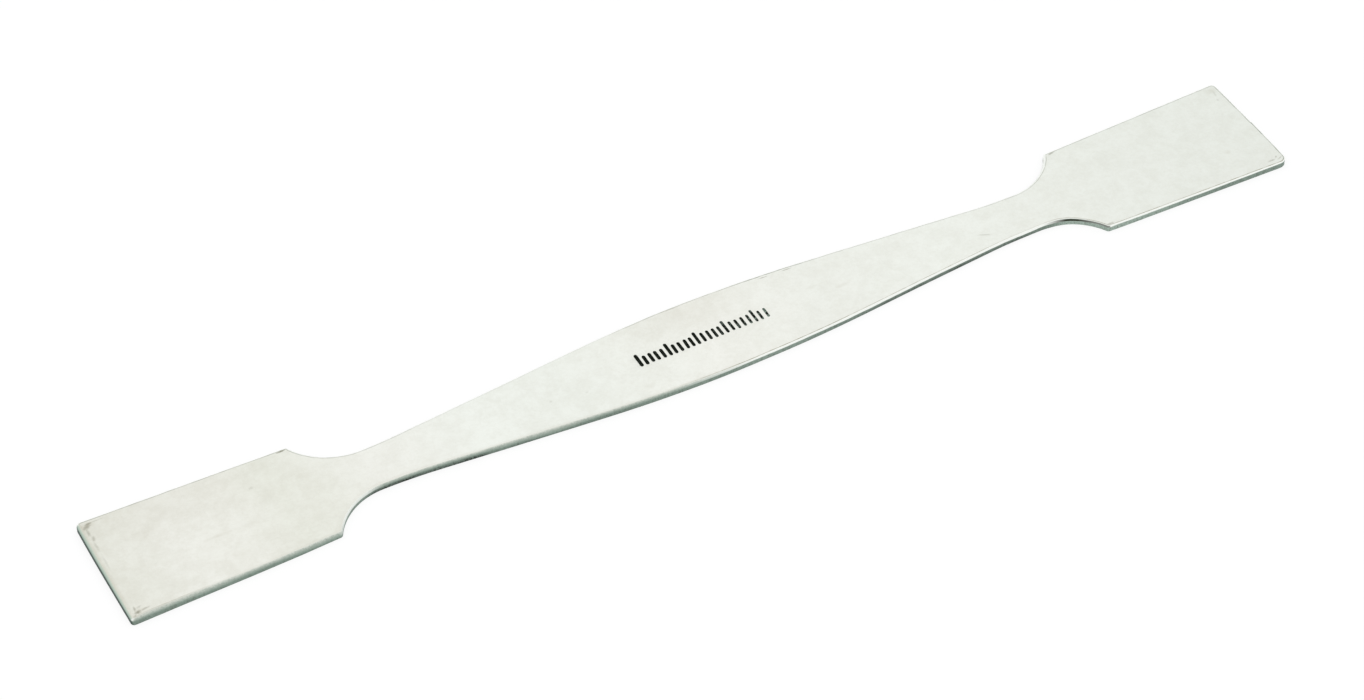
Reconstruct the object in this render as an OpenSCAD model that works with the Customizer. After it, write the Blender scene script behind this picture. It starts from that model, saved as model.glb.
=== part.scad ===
// Double-ended flat laboratory spatula, blanked from one sheet of stainless steel.
// It has a broad, slightly flared blade at each end, a narrow waist behind each
// blade, and a lens-shaped handle between the waists. It lies on its underside.
//
// Origin: middle of the underside. +X runs along the length, +Z up through the sheet.
// Lengths are in millimetres and angles in degrees.

/* [Sheet] */
// Length over both blades
length = 200; // [160:1:300]
// Thickness of the sheet
sheet_t = 1.2; // [0.8:0.1:2]

/* [Blades] */
// Length of each blade, from its end to the corner of its shoulder
blade_len = 33.6; // [20:0.2:50]
// Width across a blade's outer end
blade_end_w = 21.4; // [16:0.2:26]
// Width across a blade's shoulders
blade_root_w = 19.4; // [14:0.2:24]
// How far the middle of the end edge stands out beyond the ends of that edge
end_bow = 0.12; // [0.02:0.01:0.6]
// Radius of the two outer corners of each blade
end_corner_r = 0.9; // [0.5:0.1:3]
// Radius of the two shoulder corners of each blade
shoulder_corner_r = 0.6; // [0.5:0.1:2]

/* [Handle] */
// Width across the middle of the handle
handle_w = 16; // [10:0.2:20]
// Width across each waist
waist_w = 8.1; // [5:0.1:9.6]
// Radius of the hollow curve that climbs from a waist to a shoulder
shoulder_r = 10.4; // [7:0.1:20]
// Distance from mid-length to the point where the taper, carried on, reaches full width
crown_reach = 10.5; // [4:0.1:16]
// Distance from a waist to the point where the taper, carried on, reaches waist width
waist_reach = 4.6; // [2:0.1:8]

/* [Edges] */
// Width and depth of the rolled upper edge along the straight runs
edge_roll = 0.25; // [0.05:0.01:0.4]
// Width and depth of the rolled upper edge round the hollow shoulder curves
shoulder_roll = 0.4; // [0.05:0.01:0.45]
// Width and depth of the break on the lower edge
lower_break = 0.1; // [0.02:0.01:0.3]

/* [Smoothness] */
// Steps along each long curve of the outline
curve_steps = 12; // [6:1:20]
// Steps round each small corner of the outline
corner_steps = 6; // [3:1:10]
// Steps over the rolled upper edge
roll_steps = 5; // [2:1:8]
// Steps over the break on the lower edge
break_steps = 2; // [1:1:4]

/* [Hidden] */
STEEL = [0.86, 0.87, 0.84];

half_len = length / 2;
half_handle = handle_w / 2;
half_waist = waist_w / 2;
half_root = blade_root_w / 2;
half_end = blade_end_w / 2;

// Unit direction in the plan
function dir(angle) = [cos(angle), sin(angle)];

// Centre of a small corner arc: the point at distance r from c, on the side of the
// blade's end, on the line at the given angle that passes offset from the origin
function seat(c, r, angle, offset) =
    let (along = dir(angle), across = dir(angle + 90), gap = c * across - offset)
    across * offset + along * (c * along + sqrt(r * r - gap * gap));

// Angle of the direction from one point to another
function heading(from, to) = atan2(to[1] - from[1], to[0] - from[0]);

// Blade: its long edge leans outwards by the flare on the way to the end
flare = atan2(half_end - half_root, blade_len);
edge_offset = [half_len, half_end] * dir(flare + 90);

// Shoulder: a hollow arc, level at the waist, which climbs to the corner of the blade
root_x = half_len - blade_len;
waist_x = root_x - sqrt(shoulder_r ^ 2 - (half_waist + shoulder_r - half_root) ^ 2);
shoulder_c = [waist_x, half_waist + shoulder_r];
shoulder_corner_c =
    seat(shoulder_c, shoulder_r + shoulder_corner_r, flare, edge_offset - shoulder_corner_r);
shoulder_turn = heading(shoulder_c, shoulder_corner_c);

// End: a shallow arc that bulges outwards, met by the long edge in a round corner
end_r = half_end ^ 2 / (2 * end_bow);
end_c = [half_len - end_r, 0];
end_corner_c = seat(end_c, end_r - end_corner_r, flare, edge_offset - end_corner_r);
end_turn = heading(end_c, end_corner_c);

// Handle: an arc level at mid-length and an arc level at the waist, and the straight
// taper that is tangent to both
taper = atan2(half_handle - half_waist, waist_x - waist_reach - crown_reach);
crown_r = crown_reach / tan(taper / 2);
crown_c = [0, half_handle - crown_r];
waist_r = waist_reach / tan(taper / 2);
waist_c = [waist_x, half_waist + waist_r];

// Outline points are [x, y, outward angle, roll]. An arc is hollow where the metal
// lies outside its circle, so that its outward angle points at the centre. The roll
// changes evenly along it. First is 1 where the arc before ends at the same point.
function arc(c, r, angles, rolls, steps, hollow = false, first = 0) =
    [for (i = [first:steps])
        let (
            u = i / steps,
            angle = angles[0] + (angles[1] - angles[0]) * u,
            p = c + r * dir(angle)
        )
        [p[0], p[1], hollow ? angle + 180 : angle, rolls[0] + (rolls[1] - rolls[0]) * u]];

plain = [edge_roll, edge_roll];
growing = [edge_roll, shoulder_roll];
dressed = [shoulder_roll, shoulder_roll];
fading = [shoulder_roll, edge_roll];

// One quarter of the outline, from mid-handle round to the blade's end, where it stops
// half a step short of the middle. The taper and the blade's long edge are the straight
// gaps between two arcs.
end_stop = end_turn / (2 * curve_steps + 1);
quarter = concat(
    arc(crown_c, crown_r, [90, 90 - taper], plain, curve_steps),
    arc(waist_c, waist_r, [270 - taper, 270], growing, curve_steps, hollow = true),
    arc(shoulder_c, shoulder_r, [270, 360 + shoulder_turn], dressed, curve_steps,
        hollow = true, first = 1),
    arc(shoulder_corner_c, shoulder_corner_r, [180 + shoulder_turn, 90 + flare], fading,
        corner_steps, first = 1),
    arc(end_corner_c, end_corner_r, [90 + flare, end_turn], plain, corner_steps),
    arc(end_c, end_r, [end_turn, end_stop], plain, curve_steps, first = 1)
);

// The near quarter is the mirror image of that one, taken on round to mid-handle
function flip_y(p) = [p[0], -p[1], -p[2], p[3]];
function backwards(list) = [for (i = [len(list) - 1:-1:0]) list[i]];
outline = concat(quarter, [for (p = backwards(quarter)) flip_y(p)]);

// The outline drawn in at each point, as one ring of the lower break or the upper roll.
// The angle runs from 0, where the edge starts to turn, to 90, where it has turned.
function lower_ring(angle) =
    [for (p = outline)
        let (q = [p[0], p[1]] - lower_break * (1 - sin(angle)) * dir(p[2]))
        [q[0], q[1], lower_break * (1 - cos(angle))]];
function upper_ring(angle) =
    [for (p = outline)
        let (q = [p[0], p[1]] - p[3] * (1 - cos(angle)) * dir(p[2]))
        [q[0], q[1], sheet_t - p[3] * (1 - sin(angle))]];

// Closed skin over rings of points, listed from the bottom one to the top one. A ring
// starts and ends at mid-handle. Each flat face is a row of strips across the width,
// from a point to its mirror image.
module skin(rings) {
    n = len(rings[0]);
    top = len(rings) - 1;
    strips = [for (i = [0:n / 2 - 2]) [i, i + 1, n - 2 - i, n - 1 - i]];
    underside = [for (strip = strips) backwards(strip)];
    upper_face = [for (strip = strips) [for (i = strip) top * n + i]];
    walls = [for (k = [0:top - 1], i = [0:n - 2])
        let (low = k * n + i, high = low + n)
        [low + 1, high + 1, high, low]];
    cut = [for (k = [0:top - 1])
        let (low = k * n, high = low + n)
        [low, high, high + n - 1, low + n - 1]];
    polyhedron([for (ring = rings) each ring], concat(underside, upper_face, walls, cut));
}

// Half of the spatula: lower edge broken, sides square, upper edge rolled over
module half() {
    skin(concat(
        [for (i = [0:break_steps]) lower_ring(90 * i / break_steps)],
        [for (i = [0:roll_steps]) upper_ring(90 * i / roll_steps)]
    ));
}

module spatula() {
    color(STEEL) {
        half();
        mirror([1, 0, 0])
            half();
    }
}

spatula();
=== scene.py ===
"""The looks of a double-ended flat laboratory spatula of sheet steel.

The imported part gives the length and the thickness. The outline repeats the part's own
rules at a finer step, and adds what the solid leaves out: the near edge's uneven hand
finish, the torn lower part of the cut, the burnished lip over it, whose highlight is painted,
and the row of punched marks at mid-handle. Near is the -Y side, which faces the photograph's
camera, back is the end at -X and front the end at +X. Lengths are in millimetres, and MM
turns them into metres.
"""

import math

import bpy
import numpy as np
from mathutils import Euler, Matrix, Vector, geometry, noise


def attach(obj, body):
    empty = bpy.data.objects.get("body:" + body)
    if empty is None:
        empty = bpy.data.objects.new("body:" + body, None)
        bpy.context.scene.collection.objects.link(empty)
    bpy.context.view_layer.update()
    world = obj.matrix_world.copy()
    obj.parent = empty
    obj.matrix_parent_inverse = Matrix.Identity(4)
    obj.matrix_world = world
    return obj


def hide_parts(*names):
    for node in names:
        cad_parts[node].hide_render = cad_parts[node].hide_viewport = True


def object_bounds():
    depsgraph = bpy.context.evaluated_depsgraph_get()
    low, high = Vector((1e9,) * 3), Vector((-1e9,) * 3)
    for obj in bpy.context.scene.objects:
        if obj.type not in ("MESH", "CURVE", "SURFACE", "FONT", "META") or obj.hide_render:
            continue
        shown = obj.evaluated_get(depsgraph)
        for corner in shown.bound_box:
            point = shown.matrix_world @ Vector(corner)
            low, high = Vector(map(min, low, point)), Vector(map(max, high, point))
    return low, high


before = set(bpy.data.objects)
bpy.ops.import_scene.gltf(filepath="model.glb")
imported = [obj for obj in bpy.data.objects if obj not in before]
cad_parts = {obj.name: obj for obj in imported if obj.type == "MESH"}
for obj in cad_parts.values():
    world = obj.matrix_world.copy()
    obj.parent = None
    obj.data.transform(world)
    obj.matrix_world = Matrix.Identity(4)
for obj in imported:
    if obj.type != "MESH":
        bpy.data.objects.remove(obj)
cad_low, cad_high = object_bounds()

MM = 0.001
QUARTER_TURN = math.pi / 2

# Sheet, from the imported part
LENGTH = (cad_high.x - cad_low.x) / MM
SHEET_T = (cad_high.z - cad_low.z) / MM

# Blades
BLADE_LEN = 33.6
BLADE_END_W = 21.4
BLADE_ROOT_W = 19.4
END_BOW = 0.12
END_CORNER_R = 0.9
NEAR_BACK_CORNER_R = 0.6
NEAR_FRONT_CORNER_R = 1.4
SHOULDER_CORNER_R = 0.6

# Further than these along X from mid-handle, an edge point is on a blade's end or by a shoulder
END_X = 90
SHOULDER_X = 50

# Handle
HANDLE_W = 16
WAIST_W = 8.1
SHOULDER_R = 10.4
CROWN_REACH = 10.5
WAIST_REACH = 4.6

# Edges
EDGE_ROLL = 0.25
SHOULDER_ROLL = 0.4
LOWER_ROLL = 0.1
BACK_END_LOWER_ROLL = 0.22

# Share of a plain bevel in a crisp roll
CRISP_BEVEL = 0.6

# Mean depth of the torn lower part of the cut, and the share of the side's height it takes
TEAR_DEPTH = 0.035
TEAR_TOP = 0.8

# At the near back corner the roll is held to half the corner's radius. It may grow by this share
# of the distance from there, and may fall this much further than it reaches
CORNER_ROLL_GROWTH = 0.12
CORNER_FALL_MORE = 0.2

# Unevenness of the roll and of the tear: share of their size, wavelength and seed
SLOW_UNEVEN = (0.12, 3, 1)
QUICK_UNEVEN = (0.08, 0.8, 2)
TEAR_UNEVEN = (1, 0.35, 3)

# How far a seed of 1 moves the noise along each axis
SEED_STEP = (17.3, 5.1, 9.7)

# An edge point counts as part of an end or of the shoulder's fillet as its outward direction
# along X goes from the first of these to the second
BACK_END_TURN = (0.6, 0.9)
FRONT_END_TURN = (0.3, 0.7)
FILLET_TURN = (0.05, 0.4)

# The fillet fades by this share between these places along X
FILLET_FADE = 0.2
FILLET_FADE_X = (63, 65)

# The edges were finished by hand. Each profile gives places along X and a value at each.

# How far the near edge strays outward
STRAY = ((-100, -0.10), (-92, -0.06), (-80, 0.05), (-73, 0.05), (-66, -0.08), (-62, -0.10),
         (-56, -0.08), (-46, -0.02), (-38, 0.04), (-24, 0.07), (-4, 0.03), (6, -0.06), (24, 0.05),
         (34, 0.0), (50, 0.08), (55, 0.16), (59, 0.15), (62, -0.06), (66, -0.14), (70, -0.10),
         (100, -0.21))

# How far the near edge's roll reaches inward, and how far down
NEAR_ROLL = ((-100, 0.64), (-92, 0.56), (-86, 0.44), (-78, 0.35), (-68, 0.31), (-65, 0.16),
             (-60, 0.15), (-57, 0.13), (-52, 0.19), (-46, 0.27), (-14, 0.31), (-7, 0.24), (0, 0.14),
             (56, 0.14), (59, 0.22), (60, 0.28), (62, 0.26), (64, 0.12), (67, 0.16), (100, 0.17))
NEAR_FALL = ((-100, 0.35), (-92, 0.4), (-88, 0.6), (-76, 0.55), (-70, 0.8), (-66, 0.75),
             (-65, 0.5), (-57, 0.58), (-52, 0.5), (-46, 0.44), (-38, 0.6), (-30, 0.8), (-22, 0.5),
             (-10, 0.5), (0, 0.33), (14, 0.30), (19, 0.40), (32, 0.42), (38, 0.36), (47, 0.40),
             (54, 0.5), (58, 0.4), (64, 0.45), (68, 0.22), (76, 0.3), (85, 0.28), (92, 0.22),
             (100, 0.14))

# How far the far edge's roll reaches inward, which is also how far down
FAR_ROLL = ((-60, 0.2), (-40, 0.31), (-14, 0.29), (-5, 0.2), (12, 0.3), (100, 0.28))

# How far the back end's roll reaches inward, along Y instead of X, and how far down
BACK_END_ROLL = ((-10.7, 0.37), (-4, 0.41), (0, 0.47))
BACK_END_FALL = 0.35

# How much of its bow the near half of the back end has lost, from 0 to 1
BACK_END_STRAIGHTER = 0.8

# How dark the line is where the roll ends, from 0 to 1
NEAR_LINE = ((-92, 0.4), (-86, 0.0), (-12, 0.0), (0, 0.9), (18, 0.9), (22, 0.6), (44, 0.6),
             (50, 0.3), (57, 0.2), (60, 0.6), (66, 0.8), (100, 1.0))
FAR_LINE = ((-66, 0.55), (-60, 0.4), (-52, 0.35), (-44, 0.15), (-14, 0.1), (-8, 0.6), (-1, 0.45),
            (6, 0.4), (11, 0.9), (18, 0.85), (22, 0.4), (56, 0.4), (66, 0.5))

# How softly the near roll blends in, how dark the torn lower part of the near cut is, and how
# pale and green the near cut is, a painted reflection of the bright surroundings, from 0 to 1
SOFTNESS = ((-67, 1.0), (-65, 0.2), (-60, 0.35), (-57, 1.0), (-10, 1.0), (4, 0.0))
TEARING = ((-100, 0.2), (-90, 0.05), (-68, 0.05), (-60, 0.35), (-57, 0.85), (-52, 1.0), (-44, 1.0),
           (-41, 0.7), (-38.5, 0.2), (-36, 0.6), (-33, 0.35), (-30, 0.1), (-24, 0.25), (-16, 0.2),
           (-12, 0.05), (16, 0.1), (22, 0.2), (27, 0.4), (30, 0.55), (48, 0.6), (57, 0.4),
           (61, 0.0), (100, 0.0))
MINT = ((-76, 0.0), (-72, 0.2), (-67, 0.25), (-65, 0.5), (-61, 0.5), (-59, 0.0), (-14, 0.0),
        (-10, 0.15), (0, 0.1), (4, 0.4), (12, 0.35), (18, 0.1), (25, 0.15), (30, 0.0), (59, 0.1),
        (61.5, 1.0), (70, 1.0), (76, 0.7), (80, 0.3), (85, 0.05), (100, 0.15))

# How dark the far cut's torn part is, how dark the line is at the front end, and how green the
# line is on the near side
FAR_TEARING = 0.3
FRONT_END_LINE = 0.75
NEAR_GREEN = 0.5

# Row of punched marks, a plain scale of ticks with a longer one every five
TICKS = 23
TICK_PITCH = 1.0
TICK_SHORT = 2.1
TICK_LONG = 2.8
TICK_WIDTH = 0.6
TICK_DEPTH = 0.16
TICKS_PER_LONG = 5
SCALE_START = (-12.2, -1.2)
TICK_SEED = 7

# How much a tick slips along X and Y, and leans in radians
TICK_SLIP = (0.03, 0.04, 0.02)

# How much of the first strike's force the last one has lost
STRIKE_LOSS = 0.6

# Share of its width that a tick has anyway, and the share that a full strike adds
LIGHT_WIDTH, STRUCK_WIDTH = 0.55, 0.45

# Width and length of a tick's floor, as shares of its own
TICK_FLOOR = (0.55, 0.88)
TICK_SIDE_STEPS = 5
TICK_CAP_STEPS = 4

# Fineness of the mesh
POINT_GAP = 0.25
CORNER_GAP = 0.1
BREAK_STEPS = 4
SIDE_STEPS = 6
ROLL_STEPS = 8
GRID_GAP = 2.0
GRID_MARGIN = 2.6
LEAST_GAP = 0.08
TICK_CLEARANCE = 0.6 * TICK_WIDTH

# Rows of points inside a face: how far in from the roll, and how many outline points apart
MARGINS = ((0.15, 1), (0.3, 1), (0.5, 2), (0.8, 2), (1.2, 4), (1.7, 4))

# A row's point goes where the edge is closer to it than this share of the row's least inset, or
# than its own inset less this share of the margin
ROW_LEAST = 0.97
ROW_SLACK = 0.1

# How Blender closes a face: only inside its border, and joining points closer than this
INSIDE_ONLY = 1
SAME_POINT = 1e-6

# Places on the rim: the underside, the ends of the lower break, of the side and of the roll
UNDERSIDE, BREAK_TOP, SIDE_TOP, ROLL_TOP = 0, 0.2, 1, 2

# Material slots
FACE, EDGE, PUNCH = range(3)


# ---------------------------------------------------------------- outline

def profile(stations, x):
    """The profile's value at each x, straight between its stations."""
    return np.interp(x, *np.transpose(stations))


def direction(angle):
    """Unit vector in the plan."""
    return np.array([math.cos(angle), math.sin(angle)])


def heading(start, end):
    """Angle of the direction from one point to another."""
    return math.atan2(end[1] - start[1], end[0] - start[0])


def seat(centre, radius, angle, offset):
    """The point at that distance from centre, towards the blade's end, on the line at the given
    angle that passes offset from the origin."""
    along, across = direction(angle), direction(angle + QUARTER_TURN)
    gap = centre @ across - offset
    return across * offset + along * (centre @ along + math.sqrt(radius ** 2 - gap ** 2))


def arc(centre, radius, start, stop, rolls, gap=POINT_GAP, hollow=False):
    """Rows of x, y, outward x, outward y and roll along an arc."""
    steps = max(2, round(abs(stop - start) * radius / gap))
    rows = []
    for share in np.linspace(0, 1, steps + 1):
        along = direction(start + (stop - start) * share)
        outward = -along if hollow else along
        roll = rolls[0] + (rolls[1] - rolls[0]) * share
        rows.append([*(centre + radius * along), *outward, roll])
    return np.array(rows)


def joined(stretches):
    """The stretches as one run of rows, with straight lines between those that don't touch."""
    run = [stretches[0]]
    for stretch in stretches[1:]:
        first, last = run[-1][-1], stretch[0]
        steps = round(np.linalg.norm(last[:2] - first[:2]) / POINT_GAP)
        shares = np.linspace(0, 1, max(steps, 1) + 1)[1:-1, None]
        run.append(first + (last - first) * shares)
        run.append(stretch if steps else stretch[1:])
    return np.concatenate(run)


def handle_arcs(waist_x):
    """The crown at mid-handle and the curve into the waist."""
    half_handle, half_waist = HANDLE_W / 2, WAIST_W / 2
    taper = math.atan2(half_handle - half_waist, waist_x - WAIST_REACH - CROWN_REACH)
    crown_r = CROWN_REACH / math.tan(taper / 2)
    crown_c = np.array([0, half_handle - crown_r])
    waist_r = WAIST_REACH / math.tan(taper / 2)
    waist_c = np.array([waist_x, half_waist + waist_r])
    up, down = QUARTER_TURN, 3 * QUARTER_TURN
    return [
        arc(crown_c, crown_r, up, up - taper, (EDGE_ROLL, EDGE_ROLL)),
        arc(waist_c, waist_r, down - taper, down, (EDGE_ROLL, SHOULDER_ROLL), hollow=True),
    ]


def shoulder_arcs(waist_x, flare, edge_offset):
    """The hollow shoulder, from the waist, and its corner with the blade."""
    hollow_c = np.array([waist_x, WAIST_W / 2 + SHOULDER_R])
    corner_c = seat(
        hollow_c, SHOULDER_R + SHOULDER_CORNER_R, flare, edge_offset - SHOULDER_CORNER_R)
    turn = heading(hollow_c, corner_c)
    up, down, around = QUARTER_TURN, 3 * QUARTER_TURN, 4 * QUARTER_TURN
    dressed, fading = (SHOULDER_ROLL, SHOULDER_ROLL), (SHOULDER_ROLL, EDGE_ROLL)
    return [
        arc(hollow_c, SHOULDER_R, down, around + turn, dressed, hollow=True),
        arc(corner_c, SHOULDER_CORNER_R, math.pi + turn, up + flare, fading, CORNER_GAP),
    ]


def end_arcs(corner_r, flare, edge_offset):
    """The end's corner and the bowed end itself, up to its middle."""
    end_r = (BLADE_END_W / 2) ** 2 / (2 * END_BOW)
    end_c = np.array([LENGTH / 2 - end_r, 0])
    corner_c = seat(end_c, end_r - corner_r, flare, edge_offset - corner_r)
    turn = heading(end_c, corner_c)
    plain = (EDGE_ROLL, EDGE_ROLL)
    return [
        arc(corner_c, corner_r, QUARTER_TURN + flare, turn, plain, CORNER_GAP),
        arc(end_c, end_r, turn, 0, plain),
    ]


def quarter_outline(end_corner_r):
    """From mid-handle round to the middle of the blade's end, on the +X, +Y side."""
    half_end, half_root = BLADE_END_W / 2, BLADE_ROOT_W / 2
    flare = math.atan2(half_end - half_root, BLADE_LEN)
    edge_offset = np.array([LENGTH / 2, half_end]) @ direction(flare + QUARTER_TURN)
    rise = WAIST_W / 2 + SHOULDER_R - half_root
    waist_x = LENGTH / 2 - BLADE_LEN - math.sqrt(SHOULDER_R ** 2 - rise ** 2)
    return joined([
        *handle_arcs(waist_x),
        *shoulder_arcs(waist_x, flare, edge_offset),
        *end_arcs(end_corner_r, flare, edge_offset),
    ])


def whole_outline():
    """The closed outline, clockwise from above, from quarters and their mirror images. Each near
    corner of an end has its own radius, the near edge strays a little, and the near half of
    the back end is straighter."""
    far = quarter_outline(END_CORNER_R)
    near_front = quarter_outline(NEAR_FRONT_CORNER_R)
    near_back = quarter_outline(NEAR_BACK_CORNER_R)
    outline = np.concatenate([
        far[:-1],
        near_front[:0:-1] * (1, -1, 1, -1, 1),
        near_back[:-1] * (-1, -1, -1, -1, 1),
        far[:0:-1] * (-1, 1, -1, 1, 1),
    ])
    near = outline[:, 3] < 0
    outline[near, 1] += profile(STRAY, outline[near, 0]) * outline[near, 3]
    near_end = near & (outline[:, 0] < -END_X)
    bow = END_BOW * (outline[near_end, 1] * 2 / BLADE_END_W) ** 2
    outline[near_end, 0] += BACK_END_STRAIGHTER * bow * outline[near_end, 2]
    return outline


# ---------------------------------------------------------------- rim

def wander(points, share, wavelength, seed):
    """Smooth noise up to share either way at each point, with bumps about a wavelength long."""
    shift = Vector([seed * step for step in SEED_STEP])
    bumps = [noise.noise(Vector(p) / wavelength + shift) for p in points.tolist()]
    return share * np.array(bumps)


def ring(outline, inset, height):
    """The outline drawn in by inset, at that height. Both may be one number or one a point."""
    plan = outline[:, :2] - outline[:, 2:4] * np.reshape(inset, (-1, 1))
    return np.column_stack([plan, np.broadcast_to(height, len(plan))])


def rising(values, start, stop):
    """0 up to start, 1 past stop, and straight between them."""
    return np.clip((values - start) / (stop - start), 0, 1)


def edge_zones(outline):
    """How each outline point's stretch of edge looks, every value from 0 to 1. Turned is the
    fillet of the near front shoulder, which gets a painted highlight and a painted shade line,
    and green is how green the line at the roll's end is."""
    x, y, outward_x = outline[:, 0], outline[:, 1], outline[:, 2]
    near = y < 0
    back_end = rising(-outward_x, *BACK_END_TURN) * (x < 0)
    front_end = rising(outward_x, *FRONT_END_TURN) * (x > END_X)
    fillet = rising(-outward_x, *FILLET_TURN) * (1 - FILLET_FADE * rising(x, *FILLET_FADE_X))
    line = np.where(near, profile(NEAR_LINE, x), profile(FAR_LINE, x))
    return {
        "soft": np.where(near, profile(SOFTNESS, x), 0) * (1 - back_end),
        "tear": np.where(near, profile(TEARING, x), FAR_TEARING) * (1 - back_end),
        # Mint paints a reflection of the bright surroundings on the near cut
        "mint": np.where(near, profile(MINT, x), 0),
        "turned": fillet * (x > SHOULDER_X) * near,
        "end": back_end,
        "crease": np.maximum(line * (1 - back_end), FRONT_END_LINE * front_end),
        "green": np.maximum(front_end, np.where(near, NEAR_GREEN, 1.0)),
    }


def blended(share, first, second):
    """First where share is 0, second where it is 1."""
    return first + (second - first) * share


def rolls(outline, zones):
    """At each outline point, how far the upper roll reaches inward and downward, and the size
    of the lower roll. The upper roll is tight at the near back corner, which is sharp."""
    x, y = outline[:, 0], outline[:, 1]
    near = y < 0
    shoulder = (outline[:, 4] - EDGE_ROLL) / (SHOULDER_ROLL - EDGE_ROLL)
    far_roll = blended(shoulder, profile(FAR_ROLL, x), SHOULDER_ROLL)
    reach = blended(zones["end"], np.where(near, profile(NEAR_ROLL, x), far_roll),
                    profile(BACK_END_ROLL, y))
    fall = blended(zones["end"], np.where(near, profile(NEAR_FALL, x), far_roll), BACK_END_FALL)
    flat = np.column_stack([x, y, np.zeros(len(x))])
    uneven = 1 + wander(flat, *SLOW_UNEVEN) + wander(flat, *QUICK_UNEVEN)
    corner_gap = np.hypot(x + LENGTH / 2, y + BLADE_END_W / 2)
    tight = NEAR_BACK_CORNER_R / 2 + CORNER_ROLL_GROWTH * corner_gap
    lower = blended(zones["end"], LOWER_ROLL, BACK_END_LOWER_ROLL)
    reach = np.minimum(reach * uneven, tight)
    return reach, np.minimum(fall * uneven, tight + CORNER_FALL_MORE), lower


def side_rings(outline, fall, lower):
    """Rings up the lower break and the side, each with its place on the rim."""
    rings = []
    for turn in np.linspace(0, QUARTER_TURN, BREAK_STEPS + 1):
        inset, height = lower * (1 - math.sin(turn)), lower * (1 - math.cos(turn))
        rings.append((ring(outline, inset, height), BREAK_TOP * turn / QUARTER_TURN))
    for share in np.linspace(0, 1, SIDE_STEPS + 1)[1:-1]:
        height = lower + share * (SHEET_T - fall - lower)
        uneven = 1 + wander(ring(outline, 0, height), *TEAR_UNEVEN)
        torn = TEAR_DEPTH * max(0, 1 - share / TEAR_TOP) * uneven
        rings.append((ring(outline, torn, height), blended(share, BREAK_TOP, SIDE_TOP)))
    return rings


def roll_rings(outline, reach, fall, soft):
    """Rings over the roll up to the top face, each with its place on the rim."""
    bevel = CRISP_BEVEL * (1 - soft)
    rings = []
    for share in np.linspace(0, 1, ROLL_STEPS + 1):
        turn = share * QUARTER_TURN
        inset = reach * blended(bevel, 1 - math.cos(turn), share)
        drop = fall * blended(bevel, 1 - math.sin(turn), 1 - share)
        rings.append((ring(outline, inset, SHEET_T - drop), SIDE_TOP + share))
    return rings


# ---------------------------------------------------------------- punched marks

def tick_loop(foot, turn, width, height):
    """Points round one punched slot, with round ends, leaning by turn from its foot."""
    turns = np.linspace(0, math.pi, TICK_CAP_STEPS + 1)
    cap = np.column_stack([np.cos(turns), np.sin(turns)]) * width / 2
    reach = (height - width) / 2
    heights = np.linspace(reach, -reach, TICK_SIDE_STEPS + 1)[1:-1]
    side = np.column_stack([np.full(len(heights), -width / 2), heights])
    half = np.concatenate([cap + (0, reach), side])
    loop = np.concatenate([half, -half]) + (0, height / 2)
    return foot + loop[:, :1] * direction(turn) + loop[:, 1:] * direction(turn + QUARTER_TURN)


def punched_ticks():
    """Each tick's depth and its loops at the surface and at its floor. They were struck by hand
    one at a time, a little unevenly, and harder towards -X, where they are wide and deep."""
    chance = np.random.default_rng(TICK_SEED)
    ticks = []
    for i in range(TICKS):
        slip_x, slip_y, lean = chance.normal(0, 1, 3) * TICK_SLIP
        strike = 1 - STRIKE_LOSS * i / (TICKS - 1)
        height = TICK_LONG if i % TICKS_PER_LONG == 0 else TICK_SHORT
        width = TICK_WIDTH * (LIGHT_WIDTH + STRUCK_WIDTH * strike)
        foot = np.array(SCALE_START) + (i * TICK_PITCH + slip_x, slip_y)
        wide = tick_loop(foot, lean, width, height)
        middle = wide.mean(0)
        narrow = middle + (wide - middle) * TICK_FLOOR
        ticks.append((wide, narrow, TICK_DEPTH * strike))
    return ticks


# ---------------------------------------------------------------- mesh

class Skin:
    """Vertices and faces gathered for one mesh, with a value of each attribute a vertex."""

    def __init__(self, outline, zones):
        self.outline, self.zones = outline, zones
        self.points, self.faces, self.slots = [], [], []
        self.values = {name: [] for name in ("rim", "edge_gap", *zones)}

    def add(self, points, rim):
        """Adds points at that place on the rim, each with the zones' values at the nearest
        outline point, and returns their numbers."""
        first = len(self.points)
        points = np.asarray(points)
        gap, nearest = nearest_of(self.outline, points)
        self.points.extend(points.tolist())
        self.values["rim"].extend(np.broadcast_to(rim, len(points)).tolist())
        self.values["edge_gap"].extend(gap.tolist())
        for name, zone in self.zones.items():
            self.values[name].extend(zone[nearest].tolist())
        return np.arange(first, first + len(points))

    def face(self, corners, slot):
        """Adds one face with that material slot."""
        self.faces.append([int(c) for c in corners])
        self.slots.append(slot)

    def band(self, low, high, slot):
        """Quads between two closed loops of points, where low is outside or below high."""
        for i in range(len(low)):
            j = (i + 1) % len(low)
            self.face((low[j], low[i], high[i], high[j]), slot)


def nearest_of(outline, points):
    """Distance from each point to the nearest outline point, and which one that is."""
    gaps = [np.hypot(*(outline[:, :2] - p[:2]).T) for p in points]
    nearest = np.array([gap.argmin() for gap in gaps], dtype=int)
    return np.array([gap.min() for gap in gaps]), nearest


def inside(outline, points):
    """Whether each point lies within the far edge's distance from the middle line, on both
    sides of it."""
    far = outline[:, 1] > 0
    order = np.argsort(outline[far, 0])
    xs, ys = outline[far, 0][order], outline[far, 1][order]
    return np.abs(points[:, 1]) < np.interp(points[:, 0], xs, ys)


def edge_rows(outline, rim_width):
    """Rows of points that follow the edge, without those too close to another part of it."""
    rows = []
    for margin, every in MARGINS:
        inset = rim_width + margin
        row = ring(outline, inset, 0)[::every, :2]
        gap = nearest_of(outline, row)[0]
        own = inset[::every] - margin * ROW_SLACK
        rows.append(row[(gap > inset.min() * ROW_LEAST) & (gap > own)])
    return rows


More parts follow.
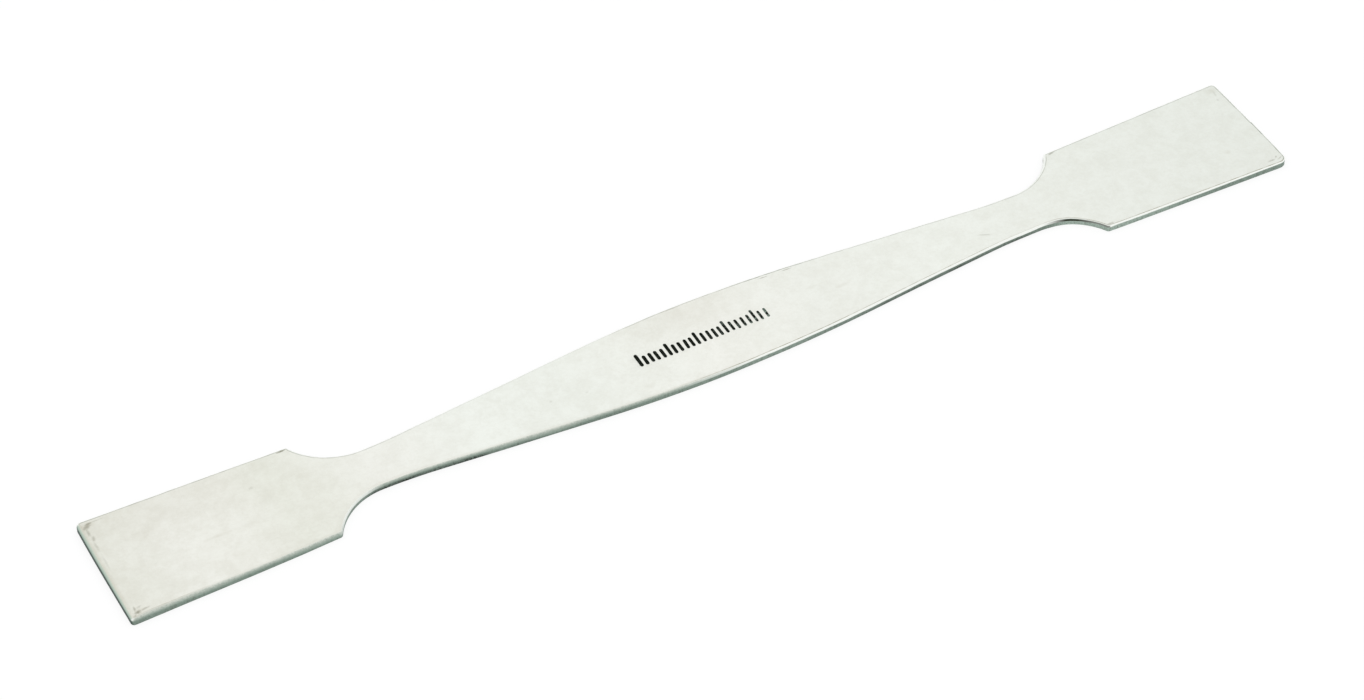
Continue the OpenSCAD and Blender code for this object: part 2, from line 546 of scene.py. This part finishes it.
def even_grid(outline):
    """An even grid of points over the part of a face that the rows don't reach."""
    half = np.array([LENGTH, BLADE_END_W]) / 2
    steps = np.floor(half / GRID_GAP)
    x, y = (np.arange(-n, n + 1) * GRID_GAP for n in steps)
    grid = np.stack(np.meshgrid(x, y), -1).reshape(-1, 2)
    clear = nearest_of(outline, grid)[0] > GRID_MARGIN
    return grid[inside(outline, grid) & clear]


def inner_points(outline, rim_width, ticks):
    """Points inside a face, none of them close together or close to a tick."""
    points = np.concatenate([*edge_rows(outline, rim_width), even_grid(outline)])
    cells = np.round(points / LEAST_GAP)
    points = points[np.unique(cells, axis=0, return_index=True)[1]]
    if ticks:
        marks = np.concatenate([wide for wide, narrow, depth in ticks])
        points = points[nearest_of(marks, points)[0] > TICK_CLEARANCE]
    return points


def level(plan, height):
    """The plan's points at that height."""
    return np.column_stack([plan, np.full(len(plan), height)])


def punch(skin, wide, narrow, height, depth):
    """Adds one slot's walls and floor, and returns the numbers of its rim."""
    rim = skin.add(level(wide, height), ROLL_TOP)
    floor = skin.add(level(narrow, height - depth), ROLL_TOP)
    for i in range(len(rim)):
        j = (i + 1) % len(rim)
        skin.face((rim[i], rim[j], floor[j], floor[i]), PUNCH)
    top, rungs = TICK_CAP_STEPS // 2, range(len(floor) // 2 + 1)
    left, right = [floor[top + k] for k in rungs], [floor[top - k] for k in rungs]
    for k in rungs[:-1]:
        skin.face(dict.fromkeys((left[k], left[k + 1], right[k + 1], right[k])), PUNCH)
    return rim


def triangles(plan, loops):
    """Triangles between the plan's points that keep the loops' edges. The plan lists the loops'
    points first."""
    edges, first = [], 0
    for loop in loops:
        n = len(loop)
        edges += [(first + i, first + (i + 1) % n) for i in range(n)]
        first += n
    points = [Vector(p) for p in plan.tolist()]
    made, _, faces, sources, _, _ = geometry.delaunay_2d_cdt(
        points, edges, [], INSIDE_ONLY, SAME_POINT)
    if len(made) != len(plan):
        raise ValueError("the face's points met: their spacing is too small")
    return [[sources[i][0] for i in face] for face in faces]


def fill_face(skin, border, rim_width, height, upward, ticks):
    """Closes a flat face inside its border loop, round the punched ticks."""
    loops = [border]
    for wide, narrow, depth in ticks:
        loops.append(punch(skin, wide, narrow, height, depth))
    loose = inner_points(skin.outline, rim_width, ticks)
    loose_numbers = skin.add(level(loose, height), ROLL_TOP if upward else UNDERSIDE)
    numbers = np.concatenate([*loops, loose_numbers])
    owners = np.concatenate([np.full(len(loop), i) for i, loop in enumerate([*loops, loose])])
    plan = np.array([skin.points[i][:2] for i in numbers])
    for corners in triangles(plan, loops):
        owner = set(owners[corners].tolist())
        in_slot = len(owner) == 1 and 0 < min(owner) < len(loops)
        if not in_slot:
            skin.face(numbers[corners if upward else corners[::-1]], FACE)


def skinned(skin, name):
    """The skin as an object of that name."""
    mesh = bpy.data.meshes.new(name)
    mesh.from_pydata((np.array(skin.points) * MM).tolist(), [], skin.faces)
    for attribute, values in skin.values.items():
        made = mesh.attributes.new(attribute, "FLOAT", "POINT")
        made.data.foreach_set("value", values)
    mesh.polygons.foreach_set("material_index", skin.slots)
    mesh.polygons.foreach_set("use_smooth", [slot != PUNCH for slot in skin.slots])
    mesh.update()
    made = bpy.data.objects.new(name, mesh)
    bpy.context.scene.collection.objects.link(made)
    return made


def build_spatula():
    """The sheet as one closed mesh. The materials read the zones and the roll's reach, which is
    in millimetres, as attributes."""
    outline = whole_outline()
    zones = edge_zones(outline)
    reach, fall, lower = rolls(outline, zones)
    skin = Skin(outline, {**zones, "reach": reach})
    rings = side_rings(outline, fall, lower) + roll_rings(outline, reach, fall, zones["soft"])
    loops = [skin.add(points, place) for points, place in rings]
    for low, high in zip(loops, loops[1:]):
        skin.band(low, high, EDGE)
    fill_face(skin, loops[0], lower, height=0, upward=False, ticks=[])
    fill_face(skin, loops[-1], reach, height=SHEET_T, upward=True, ticks=punched_ticks())
    return skinned(skin, "spatula_sheet")


# ---------------------------------------------------------------- materials

def feed(tree, socket, value):
    """Links the socket to another one, or gives it a value of its own."""
    if isinstance(value, bpy.types.NodeSocket):
        tree.links.new(value, socket)
    else:
        socket.default_value = value


def add_node(tree, kind, inputs=None, **settings):
    """A new node of the tree with these settings and inputs."""
    made = tree.nodes.new(kind)
    for name, value in settings.items():
        setattr(made, name, value)
    for name, value in (inputs or {}).items():
        feed(tree, made.inputs[name], value)
    return made


# Numbers of the colour sockets of a Mix node
MIX_FIRST, MIX_SECOND, MIX_RESULT = 6, 7, 2


class Shader:
    """A new material's nodes, with a short call for each kind that the surfaces use."""

    def __init__(self, name):
        self.material = bpy.data.materials.new(name)
        self.material.use_nodes = True
        self.tree = self.material.node_tree
        self.tree.nodes.clear()
        self.place = self.node("ShaderNodeTexCoord").outputs["Object"]

    def node(self, kind, inputs=None, **settings):
        return add_node(self.tree, kind, inputs, **settings)

    def maths(self, operation, a, b=0.0, c=0.0):
        made = self.node("ShaderNodeMath", {0: a, 1: b, 2: c}, operation=operation)
        return made.outputs[0]

    def times(self, a, b):
        return self.maths("MULTIPLY", a, b)

    def axes(self):
        """Object coordinates in metres, as three values."""
        return self.node("ShaderNodeSeparateXYZ", {0: self.place}).outputs

    def attribute(self, name):
        """The mesh's value of that name, from the edge's zones or the skin."""
        return self.node("ShaderNodeAttribute", attribute_name=name).outputs["Fac"]

    def clouds(self, size, stretch=(1, 1, 1), detail=3.0, roughness=0.5):
        """Noise about 0.5, with features about size metres across, and longer by stretch."""
        scale = tuple(1 / s for s in stretch)
        mapped = self.node("ShaderNodeMapping", {"Vector": self.place, "Scale": scale})
        inputs = {"Vector": mapped.outputs["Vector"], "Scale": 1 / size, "Detail": detail,
                  "Roughness": roughness}
        return self.node("ShaderNodeTexNoise", inputs).outputs["Fac"]

    def fade(self, value, start, stop, low=0.0, high=1.0):
        """Low up to start, high past stop, and a smooth change between them."""
        inputs = {"Value": value, "From Min": start, "From Max": stop,
                  "To Min": low, "To Max": high}
        made = self.node("ShaderNodeMapRange", inputs, interpolation_type="SMOOTHSTEP")
        return made.outputs["Result"]

    def blend(self, share, first, second):
        """First where share is 0, second where it is 1. Both are colours."""
        made = self.node("ShaderNodeMix", {0: share}, data_type="RGBA", clamp_factor=True)
        for number, colour in ((MIX_FIRST, first), (MIX_SECOND, second)):
            plain = not isinstance(colour, bpy.types.NodeSocket)
            feed(self.tree, made.inputs[number], (*colour, 1) if plain else colour)
        return made.outputs[MIX_RESULT]

    def ramp(self, value, stops):
        """A colour for each value from 0 to 1, smooth between the stops' (value, colour)."""
        made = self.node("ShaderNodeValToRGB", {"Fac": value})
        row = made.color_ramp.elements
        while len(row) < len(stops):
            row.new(1.0)
        for element, (place, colour) in zip(row, stops):
            element.position, element.color = place, (*colour, 1)
        return made.outputs["Color"]

    def bump(self, height, distance, below=None):
        """A normal with bumps of that distance in metres, on top of the normal below."""
        inputs = {"Height": height, "Distance": distance, "Strength": 1.0}
        if below:
            inputs["Normal"] = below
        return self.node("ShaderNodeBump", inputs).outputs["Normal"]

    def close(self, shader):
        """Ends the material in that shader node."""
        self.node("ShaderNodeOutputMaterial", {"Surface": shader.outputs[0]})
        return self.material

    def steel(self, **inputs):
        """Ends the material in a metal Principled shader with these inputs."""
        named = {name.replace("_", " "): value for name, value in inputs.items()}
        return self.close(self.node("ShaderNodeBsdfPrincipled", {"Metallic": 1.0, **named}))


# Tint of the top face along X, and how far it drifts, as a share of the length. Over the
# steel's own tint it paints a reflection, brighter at mid-handle and darker towards the ends
TINT_DRIFT = 0.04
TINTS_AND_SHEEN = (
    (-100, (0.804, 0.812, 0.742)),
    (-88, (0.866, 0.872, 0.816)),
    (-79, (0.856, 0.862, 0.802)),
    (-71, (0.814, 0.828, 0.755)),
    (-56, (0.868, 0.874, 0.822)),
    (-40, (0.874, 0.900, 0.848)),
    (-24, (0.854, 0.880, 0.826)),
    (0, (0.882, 0.890, 0.838)),
    (20, (0.852, 0.870, 0.818)),
    (40, (0.864, 0.888, 0.836)),
    (56, (0.842, 0.866, 0.814)),
    (75, (0.826, 0.852, 0.800)),
    (100, (0.810, 0.838, 0.786)),
)

# Colours of what lies on the steel, the stain's also painting shade beside the rolls, then of
# the steel itself where its edge is cut and rolled, with painted highlight and shade among them
STAIN_AND_SHADE = (0.42, 0.38, 0.27)
GRIME = (0.16, 0.15, 0.085)
CREASE = (0.33, 0.36, 0.30)
SOOT = (0.010, 0.013, 0.009)
# A painted highlight on the lip of the roll
PAINTED_LIP_HIGHLIGHT = (0.92, 0.94, 0.90)
# Grey-green of the cut, its darkness partly painted shade
SHEARED_STEEL = (0.260, 0.330, 0.282)
# Pale green on the cut: a painted reflection where the mint zone has it, and its pale streaks
MINT_STEEL = (0.40, 0.49, 0.43)
OLIVE_STEEL = (0.105, 0.110, 0.080)
# Painted shade at the foot of the back end
TEAL_SHADE = (0.045, 0.075, 0.060)
SHADE_STEEL = (0.042, 0.050, 0.034)
ROLLED_STEEL = (0.84, 0.85, 0.78)

# How far the colour has gone from the side's to the roll's, and the colour of the back end,
# both up the rim, from half way at the top of the side to 1 at the top of the roll. Both paint
# the roll's shade and light, dark low down and pale as it turns up to the face
SOFT_SHARES = (
    (0.50, (0.0, 0.0, 0.0)),
    (0.625, (0.14, 0.14, 0.14)),
    (0.75, (0.39, 0.38, 0.37)),
    (0.875, (0.69, 0.68, 0.66)),
    (1.0, (0.90, 0.89, 0.88)),
)
BACK_END_LIGHT_AND_SHADE = (
    (0.54, TEAL_SHADE),
    (0.67, (0.36, 0.45, 0.39)),
    (0.80, (0.49, 0.58, 0.50)),
    (0.92, (0.58, 0.64, 0.55)),
    (1.0, (0.66, 0.69, 0.60)),
)

# Soft smudges on the top face: middle, half length and width, turn in degrees and strength
SMUDGES = (
    ((-88.0, 9.0), (17.0, 7.0), 0, 0.10),
    ((-98.4, 9.4), (1.6, 0.8), 10, 0.16),
    ((-98.3, -9.3), (1.0, 0.7), 10, 0.16),
    ((-91.8, 4.2), (3.0, 1.4), 15, 0.08),
    ((-82.8, -1.6), (2.6, 0.35), 0, 0.12),
    ((-67.3, 3.4), (0.7, 0.6), 0, 0.08),
    ((-2.0, 6.0), (13.0, 4.5), 0, 0.13),
    ((-13.3, -5.3), (1.3, 0.6), 0, 0.10),
    ((18.9, 1.3), (1.5, 0.4), 0, 0.08),
    ((22.9, -0.6), (1.2, 0.4), 0, 0.12),
    ((33.7, 2.6), (2.6, 2.6), 0, 0.06),
    ((56.9, -2.4), (0.4, 0.3), 0, 0.10),
    ((92.5, -4.3), (0.6, 0.5), 0, 0.15),
    ((98.4, 9.2), (1.1, 0.7), 0, 0.15),
)

# Small sharp flecks of grime, given in the same way
FLECKS = (
    ((-98.6, 9.2), (0.80, 0.45), 30, 0.50),
    ((-98.2, 9.7), (0.60, 0.26), 10, 0.42),
    ((-98.8, 8.0), (0.80, 0.28), 90, 0.36),
    ((-98.6, 6.6), (0.60, 0.30), 80, 0.32),
    ((-98.8, 5.0), (1.20, 0.24), 90, 0.22),
    ((-98.8, 1.5), (1.80, 0.22), 90, 0.14),
    ((-97.2, 9.8), (1.60, 0.12), 0, 0.20),
    ((-98.5, -9.5), (0.55, 0.36), 10, 0.62),
    ((-99.1, -9.9), (0.35, 0.22), 20, 0.40),
    ((-98.7, -8.7), (0.55, 0.22), 85, 0.40),
    ((-98.0, -8.6), (0.50, 0.22), 15, 0.25),
    ((-97.3, -9.3), (0.80, 0.24), 8, 0.36),
    ((-74.5, 4.7), (0.45, 0.30), 0, 0.14),
    ((-22.2, -1.9), (0.30, 0.25), 0, 0.12),
    ((-27.8, -1.0), (0.30, 0.25), 0, 0.12),
    ((48.3, -1.7), (1.20, 0.20), -25, 0.24),
    ((-67.6, 9.3), (0.80, 0.18), 0, 0.80),
    ((67.6, 9.2), (0.75, 0.20), 10, 0.50),
    ((66.9, -9.1), (0.75, 0.26), 0, 0.38),
    ((-2.6, 7.6), (1.60, 0.12), 0, 0.25),
    ((13.2, 6.8), (1.00, 0.12), -3, 0.45),
    ((17.3, 6.6), (1.00, 0.12), -4, 0.45),
    ((98.2, 6.9), (0.35, 0.22), 90, 0.18),
    ((97.5, -9.3), (0.90, 0.22), 0, 0.28),
    ((98.6, -8.9), (0.30, 0.20), 40, 0.30),
    ((99.0, -9.4), (0.70, 0.16), 20, 0.28),
    ((98.6, 8.4), (0.80, 0.22), 80, 0.16),
    ((97.7, -9.3), (0.16, 0.12), 0, 0.50),
)

# Painted glints, bright spots on the roll, given in the same way
PAINTED_GLINTS = (
    ((-99.75, -10.3), (0.35, 0.25), 0, 0.75),
)


# How far the ragged noise moves a mark's outline, and where a mark fades, in its own radii
RAGGED = 1.2
MARK_FADE = (0.7, 1.9)


def marked(s, colour, marks, mark_colour, ragged):
    """The colour with marks of a stain, of grime or of a painted glint, whose outlines the
    ragged noise breaks up.
    """
    for (x, y), (half_length, half_width), turn, strength in marks:
        mapped = s.node("ShaderNodeMapping", {
            "Vector": s.place, "Location": (x * MM, y * MM, SHEET_T * MM),
            "Rotation": Euler((0, 0, math.radians(turn))),
            "Scale": (half_length * MM, half_width * MM, 1)}, vector_type="TEXTURE")
        radius = s.node("ShaderNodeVectorMath", {0: mapped.outputs["Vector"]}, operation="LENGTH")
        reach = s.maths("MULTIPLY_ADD", ragged, RAGGED, radius.outputs["Value"])
        colour = s.blend(s.fade(reach, *MARK_FADE, strength, 0.0), colour, mark_colour)
    return colour


def sheet_tint_and_sheen(s, x):
    """The top face's tint, which changes slowly along X and drifts a little, with a painted
    reflection that is brighter at mid-handle.
    """
    drift = s.clouds(12 * MM, detail=2.0)
    along = s.maths("MULTIPLY_ADD", x, 1 / (LENGTH * MM), 0.5 - TINT_DRIFT / 2)
    along = s.maths("MULTIPLY_ADD", drift, TINT_DRIFT, along)
    return s.ramp(along, [(place / LENGTH + 0.5, tint) for place, tint in TINTS_AND_SHEEN])


def shaded_back_end(s, colour, y, edge_gap):
    """The colour with a ragged band of painted shade beside the back end's edge, where its
    broad roll begins.
    """
    ragged = s.clouds(0.8 * MM, detail=4.0, roughness=0.6)
    ragged_gap = s.maths("MULTIPLY_ADD", ragged, 0.5, edge_gap)
    worn = s.times(s.fade(ragged_gap, 0.5, 1.40, 0.30, 0.0), s.attribute("end"))
    worn = s.times(worn, s.fade(y, -9 * MM, -4 * MM, 0.55, 1.0))
    return s.blend(worn, colour, STAIN_AND_SHADE)


def lined_and_shaded_edge(s, colour, edge_gap):
    """The colour with a dark line where the roll ends, and a faint painted shade beside it where
    the roll is soft."""
    flat_gap = s.maths("SUBTRACT", edge_gap, s.attribute("reach"))
    crease = s.times(s.fade(flat_gap, 0.08, 0.22, 1.0, 0.0), s.attribute("crease"))
    crease = s.times(crease, s.fade(s.clouds(1.5 * MM, detail=3.0), 0.35, 0.6, 0.5, 1.0))
    colour = s.blend(crease, colour, s.blend(s.attribute("green"), STAIN_AND_SHADE, CREASE))
    shade = s.times(s.fade(edge_gap, 0.35, 0.8, 0.10, 0.0), s.attribute("soft"))
    return s.blend(shade, colour, STAIN_AND_SHADE)


def face_steel():
    """Rolled sheet with a satin finish: cloudy, faintly drawn along its length, and soiled in
    places, most of all at the blades' corners, with painted shade beside the back end and the
    soft roll and a painted reflection that is brighter at mid-handle."""
    s = Shader("satin_steel")
    x, y = s.axes()[:2]
    clouds = s.fade(s.clouds(2.4 * MM, detail=6.0, roughness=0.7), 0.36, 0.66)
    on_blade = s.fade(x, -70 * MM, -60 * MM, 0.10, 0.07)
    colour = s.blend(s.times(clouds, on_blade), sheet_tint_and_sheen(s, x), STAIN_AND_SHADE)
    colour = marked(s, colour, SMUDGES, STAIN_AND_SHADE, s.clouds(1.6 * MM, detail=5.0, roughness=0.65))
    colour = marked(s, colour, FLECKS, GRIME, s.clouds(0.4 * MM, detail=3.0, roughness=0.6))

    edge_gap = s.attribute("edge_gap")
    colour = shaded_back_end(s, colour, y, edge_gap)
    colour = lined_and_shaded_edge(s, colour, edge_gap)
    fine = s.fade(s.clouds(0.5 * MM, detail=3.0, roughness=0.7), 0.40, 0.62, 0.0, 0.045)
    colour = s.blend(fine, colour, STAIN_AND_SHADE)

    drawn = s.clouds(0.12 * MM, (60, 1, 1), detail=2.0)
    grain = s.clouds(0.25 * MM, detail=2.0)
    roughness = s.maths("MULTIPLY_ADD", clouds, 0.08, 0.33)
    normal = s.bump(drawn, 0.0012 * MM, s.bump(grain, 0.002 * MM))
    return s.steel(Base_Color=colour, Roughness=roughness, Normal=normal)


def sheared_side(s, rim, streaks, speckle):
    """Colour of the cut side: streaked, specked, and dark low down where it tore. Its grey-green is
    partly painted shade, and its mint a painted reflection.
    """
    side = s.blend(s.attribute("mint"), SHEARED_STEEL, MINT_STEEL)
    side = s.blend(s.fade(streaks, 0.52, 0.75, 0.0, 0.35), side, MINT_STEEL)
    side = s.blend(s.fade(streaks, 0.30, 0.50, 0.35, 0.0), side, OLIVE_STEEL)
    specks = s.fade(s.clouds(0.24 * MM, detail=4.0, roughness=0.8), 0.50, 0.60, 0.0, 0.45)
    side = s.blend(s.times(specks, s.fade(rim, 0.25, 0.52, 1.0, 0.3)), side, SOOT)
    torn = s.times(s.fade(rim, 0.15, 0.66, 1.0, 0.0), s.attribute("tear"))
    torn = s.times(torn, s.maths("MULTIPLY_ADD", speckle, 0.45, 0.55))
    stretches = s.fade(s.clouds(5 * MM, detail=2.0), 0.40, 0.62, 0.75, 1.3)
    return s.blend(s.times(torn, stretches), side, SOOT)


def soft_roll(s, rim, side):
    """Colour of the edge where the side blends softly into the roll, with painted shade that
    pales as the roll turns up.
    """
    colour = s.blend(s.ramp(rim, SOFT_SHARES), side, ROLLED_STEEL)
    blotches = s.fade(s.clouds(0.4 * MM, detail=4.0, roughness=0.75), 0.47, 0.55, 0.0, 0.38)
    blotches = s.times(blotches, s.fade(rim, 0.80, 1.0, 1.0, 0.0))
    colour = s.blend(blotches, colour, SHEARED_STEEL)
    creased = s.times(s.attribute("crease"), s.fade(rim, 0.75, 0.95, 0.0, 0.5))
    return s.blend(creased, colour, CREASE)


def shoulder_fillet(s, rim, side):
    """Colour of the edge at the near front shoulder, turned from the light: a painted highlight
    on the lip and a dark line of painted shade over the side.
    """
    colour = s.blend(s.fade(rim, 0.80, 0.94), side, PAINTED_LIP_HIGHLIGHT)
    line = s.times(s.fade(rim, 0.48, 0.54), s.fade(rim, 0.76, 0.92, 1.0, 0.0))
    return s.blend(line, colour, SHADE_STEEL)


def edge_steel():
    """The cut edge: a rolled upper corner, crisp or soft, over the cut side. Its colours paint
    the light and shade up the rim: a highlight on a crisp lip, the dark-to-pale turn of a soft
    roll, and part of the cut's darkness.
    """
    s = Shader("sheared_steel")
    rim = s.times(s.attribute("rim"), 1 / ROLL_TOP)
    streaks = s.clouds(0.32 * MM, (1, 1, 8), detail=4.0, roughness=0.7)
    speckle = s.fade(s.clouds(0.30 * MM, (1, 1, 1.6), detail=4.0, roughness=0.75), 0.40, 0.58)
    side = sheared_side(s, rim, streaks, speckle)

    # A crisp roll's lip is painted with a highlight
    crisp = s.blend(s.fade(rim, 0.49, 0.54), side, PAINTED_LIP_HIGHLIGHT)
    colour = s.blend(s.attribute("soft"), crisp, soft_roll(s, rim, side))
    colour = s.blend(s.attribute("turned"), colour, shoulder_fillet(s, rim, side))
    # The back end's roll is painted with shade at its foot that pales up to the face
    colour = s.blend(s.attribute("end"), colour, s.ramp(rim, BACK_END_LIGHT_AND_SHADE))
    painted_glint = marked(s, colour, PAINTED_GLINTS, PAINTED_LIP_HIGHLIGHT, s.clouds(0.5 * MM, detail=2.0))
    colour = s.blend(s.fade(rim, 0.54, 0.64), colour, painted_glint)

    roughness = s.fade(rim, 0.45, 0.6, 0.55, 0.3)
    normal = s.bump(streaks, 0.02 * MM, s.bump(speckle, 0.01 * MM))
    return s.steel(Base_Color=colour, Roughness=roughness, Normal=normal)


def punched_steel():
    """Inside of the punched marks, full of old grime, paler where the strike was light."""
    s = Shader("punched_steel")
    x = s.axes()[0]
    worn = s.clouds(0.5 * MM, detail=3.0)
    light = s.times(s.fade(x, -2 * MM, 11 * MM, 0.05, 0.9), s.fade(worn, 0.44, 0.62))
    return s.steel(Base_Color=s.blend(light, SOOT, SHEARED_STEEL), Roughness=0.6)


# ---------------------------------------------------------------- studio

WHITE = (1, 1, 1, 1)
VIEW_RAYS = ("Is Camera Ray", "Is Glossy Ray", "Is Transmission Ray")

# The floor's half width in sheet lengths, its depth under the sheet, its grey in the light, and
# how white the camera and reflections see it
FLOOR_REACH = 15
FLOOR_DROP = 0.01
FLOOR_GREY = (0.22, 0.22, 0.22, 1)
FLOOR_GLOW = 0.83

# Light from the surroundings low down and high up, and the height from 0 to 1 that ends its rise
LOW_LIGHT, HIGH_LIGHT = 0.60, 0.84
LIGHT_RISE = 0.55


def strongest(tree, level):
    """The level, or 1 where the camera sees it, straight, in a reflection or through glass."""
    path = add_node(tree, "ShaderNodeLightPath").outputs
    for ray in VIEW_RAYS:
        both = {0: level, 1: path[ray]}
        level = add_node(tree, "ShaderNodeMath", both, operation="MAXIMUM").outputs[0]
    return level


def studio_floor():
    """A wide pale floor just under the sheet. The camera sees it near white, with the sheet's
    own soft shadow on it."""
    half = FLOOR_REACH * LENGTH * MM
    corners = [(-half, -half, 0), (half, -half, 0), (half, half, 0), (-half, half, 0)]
    mesh = bpy.data.meshes.new("floor")
    mesh.from_pydata(corners, [], [(0, 1, 2, 3)])
    floor = bpy.data.objects.new("floor", mesh)
    floor.location.z = -FLOOR_DROP * MM
    bpy.context.scene.collection.objects.link(floor)

    s = Shader("floor_paper")
    glow = s.times(strongest(s.tree, 0.0), FLOOR_GLOW)
    paper = s.node("ShaderNodeBsdfDiffuse", {"Color": FLOOR_GREY})
    white = s.node("ShaderNodeEmission", {"Color": WHITE, "Strength": glow})
    both = s.node("ShaderNodeAddShader", {0: paper.outputs[0], 1: white.outputs[0]})
    mesh.materials.append(s.close(both))


def studio_world():
    """Soft white surroundings, a little darker low down. The camera and the steel's
    reflections see plain white."""
    world = bpy.data.worlds.new("studio")
    world.use_nodes = True
    bpy.context.scene.world = world
    tree = world.node_tree
    tree.nodes.clear()
    ray = add_node(tree, "ShaderNodeTexCoord").outputs["Generated"]
    height = add_node(tree, "ShaderNodeSeparateXYZ", {0: ray}).outputs[2]
    rise = {"Value": height, "From Min": 0.0, "From Max": LIGHT_RISE,
            "To Min": LOW_LIGHT, "To Max": HIGH_LIGHT}
    level = add_node(tree, "ShaderNodeMapRange", rise, interpolation_type="SMOOTHSTEP")
    strength = strongest(tree, level.outputs["Result"])
    light = add_node(tree, "ShaderNodeBackground", {"Color": WHITE, "Strength": strength})
    add_node(tree, "ShaderNodeOutputWorld", {"Surface": light.outputs[0]})


def toward(azimuth, elevation):
    """Unit vector from the sheet to a viewer. Azimuth 0 is the near side, at -Y."""
    a, e = math.radians(azimuth), math.radians(elevation)
    return Vector((math.sin(a) * math.cos(e), -math.cos(a) * math.cos(e), math.sin(e)))


def softbox(name, azimuth, elevation, distance, size, power):
    """An oblong area lamp aimed at the middle of the sheet. Its distance and its size are in
    sheet lengths."""
    lamp = bpy.data.lights.new(name, "AREA")
    lamp.shape = "RECTANGLE"
    lamp.size, lamp.size_y = (s * LENGTH * MM for s in size)
    lamp.energy = power
    box = bpy.data.objects.new(name, lamp)
    away = toward(azimuth, elevation)
    box.location = away * distance * LENGTH * MM
    box.rotation_euler = away.to_track_quat("Z", "Y").to_euler()
    bpy.context.scene.collection.objects.link(box)


# Angles in degrees. The distance is from the aim, and the clipping range is in sheet lengths
CAMERA_AZIMUTH, CAMERA_ELEVATION, CAMERA_ROLL = -28.54, 45.29, -0.33
CAMERA_DISTANCE = 586.06
CAMERA_AIM = (-5.07, -0.46)
CAMERA_LENS, CAMERA_SENSOR = 101.6, 36
CAMERA_RANGE = (0.05, 100)


def camera():
    """The view of the photograph: from the near left, a long lens, aimed at mid-handle."""
    lens = bpy.data.cameras.new("camera")
    lens.lens, lens.sensor_width = CAMERA_LENS, CAMERA_SENSOR
    lens.clip_start, lens.clip_end = (LENGTH * MM * reach for reach in CAMERA_RANGE)
    view = bpy.data.objects.new("camera", lens)
    away = toward(CAMERA_AZIMUTH, CAMERA_ELEVATION)
    aim = Vector((*CAMERA_AIM, SHEET_T / 2)) * MM
    turn = away.to_track_quat("Z", "Y").to_matrix().to_4x4()
    roll = Matrix.Rotation(math.radians(CAMERA_ROLL), 4, "Z")
    view.matrix_world = Matrix.Translation(aim + away * CAMERA_DISTANCE * MM) @ turn @ roll
    bpy.context.scene.collection.objects.link(view)
    bpy.context.scene.camera = view


sheet = build_spatula()
for finish in (face_steel, edge_steel, punched_steel):
    sheet.data.materials.append(finish())
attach(sheet, "root")
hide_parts("spatula")

studio_floor()
studio_world()
softbox("back_softbox", azimuth=151, elevation=46, distance=5, size=(2.2, 2.6), power=0.03)
softbox("front_softbox", azimuth=25, elevation=42, distance=5, size=(3, 2), power=0.1)
camera()
bpy.context.scene.view_settings.view_transform = "Standard"
